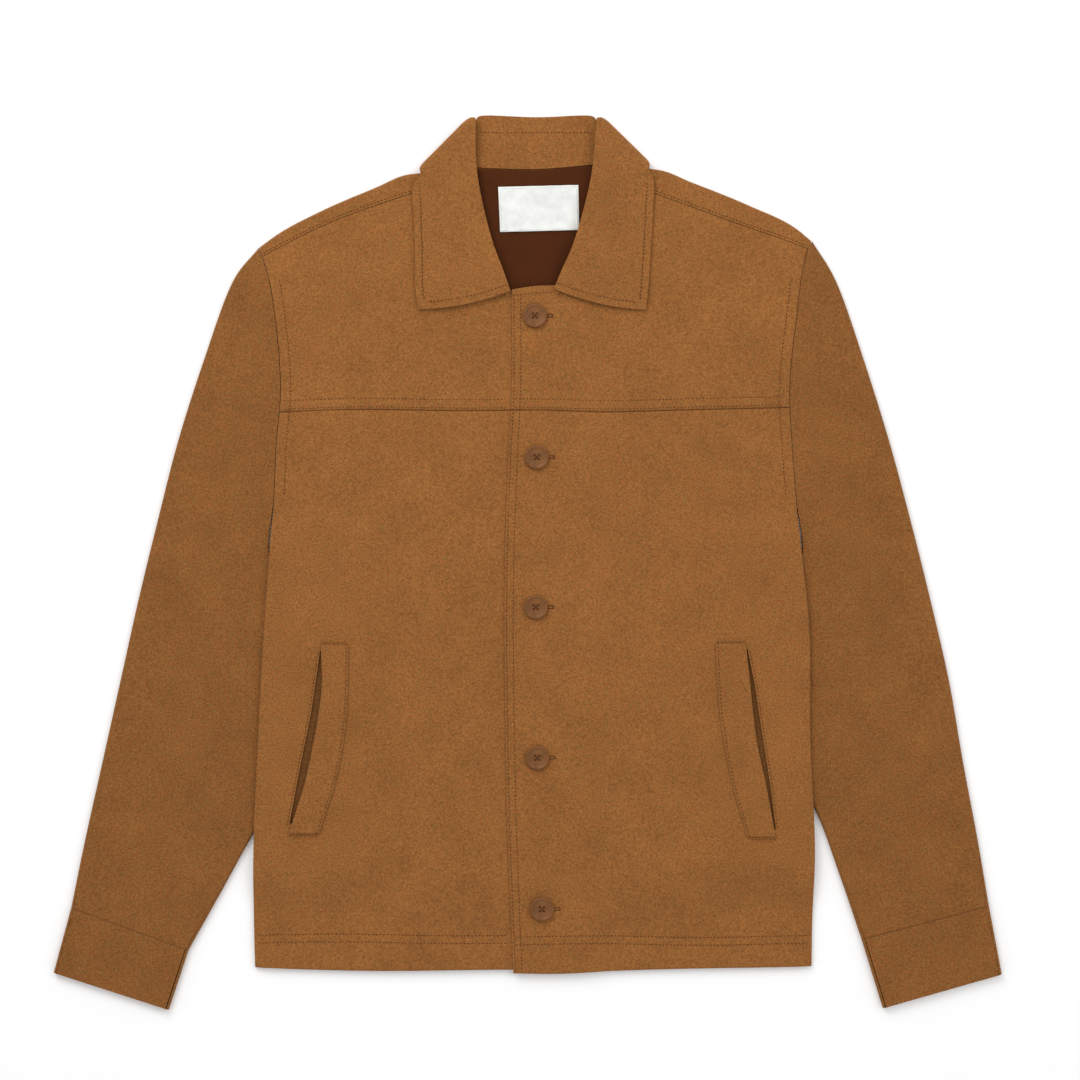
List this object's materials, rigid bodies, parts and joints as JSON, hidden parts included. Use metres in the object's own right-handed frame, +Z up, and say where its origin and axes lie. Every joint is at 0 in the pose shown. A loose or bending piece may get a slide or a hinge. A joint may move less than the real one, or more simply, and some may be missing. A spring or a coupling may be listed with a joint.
{
  "type": "suede jacket laid flat",
  "caption": "Button-front suede jacket laid flat on its back, with a fold-over collar, yoke seams, slanted welt pockets and banded cuffs.",
  "frame": {"origin": "on the table, below the centre of the jacket's outline", "axes": "+X to the wearer's left, +Y from hem to collar, +Z up off the table, out of the front"},
  "size_m": [0.852, 0.804, 0.0138],
  "materials": {
    "suede": "matte",
    "lining": "satin",
    "label": "matte",
    "button": "satin"
  },
  "bodies": {
    "root": {"back": "suede", "front_right_upper": "suede", "front_right_lower": "suede", "front_left_upper": "suede", "front_left_lower": "suede", "sleeve_right": "suede", "sleeve_left": "suede", "cuff_right": "suede", "cuff_left": "suede", "collar_stand": "suede", "collar_leaf": "suede", "pocket_welt_right": "suede", "pocket_welt_left": "suede", "pocket_facing_right": "suede", "pocket_facing_left": "suede", "back_lining": "lining", "neck_label": "label", "button_1": "button", "button_2": "button", "button_3": "button", "button_4": "button", "button_5": "button"}
  },
  "joints": []
}
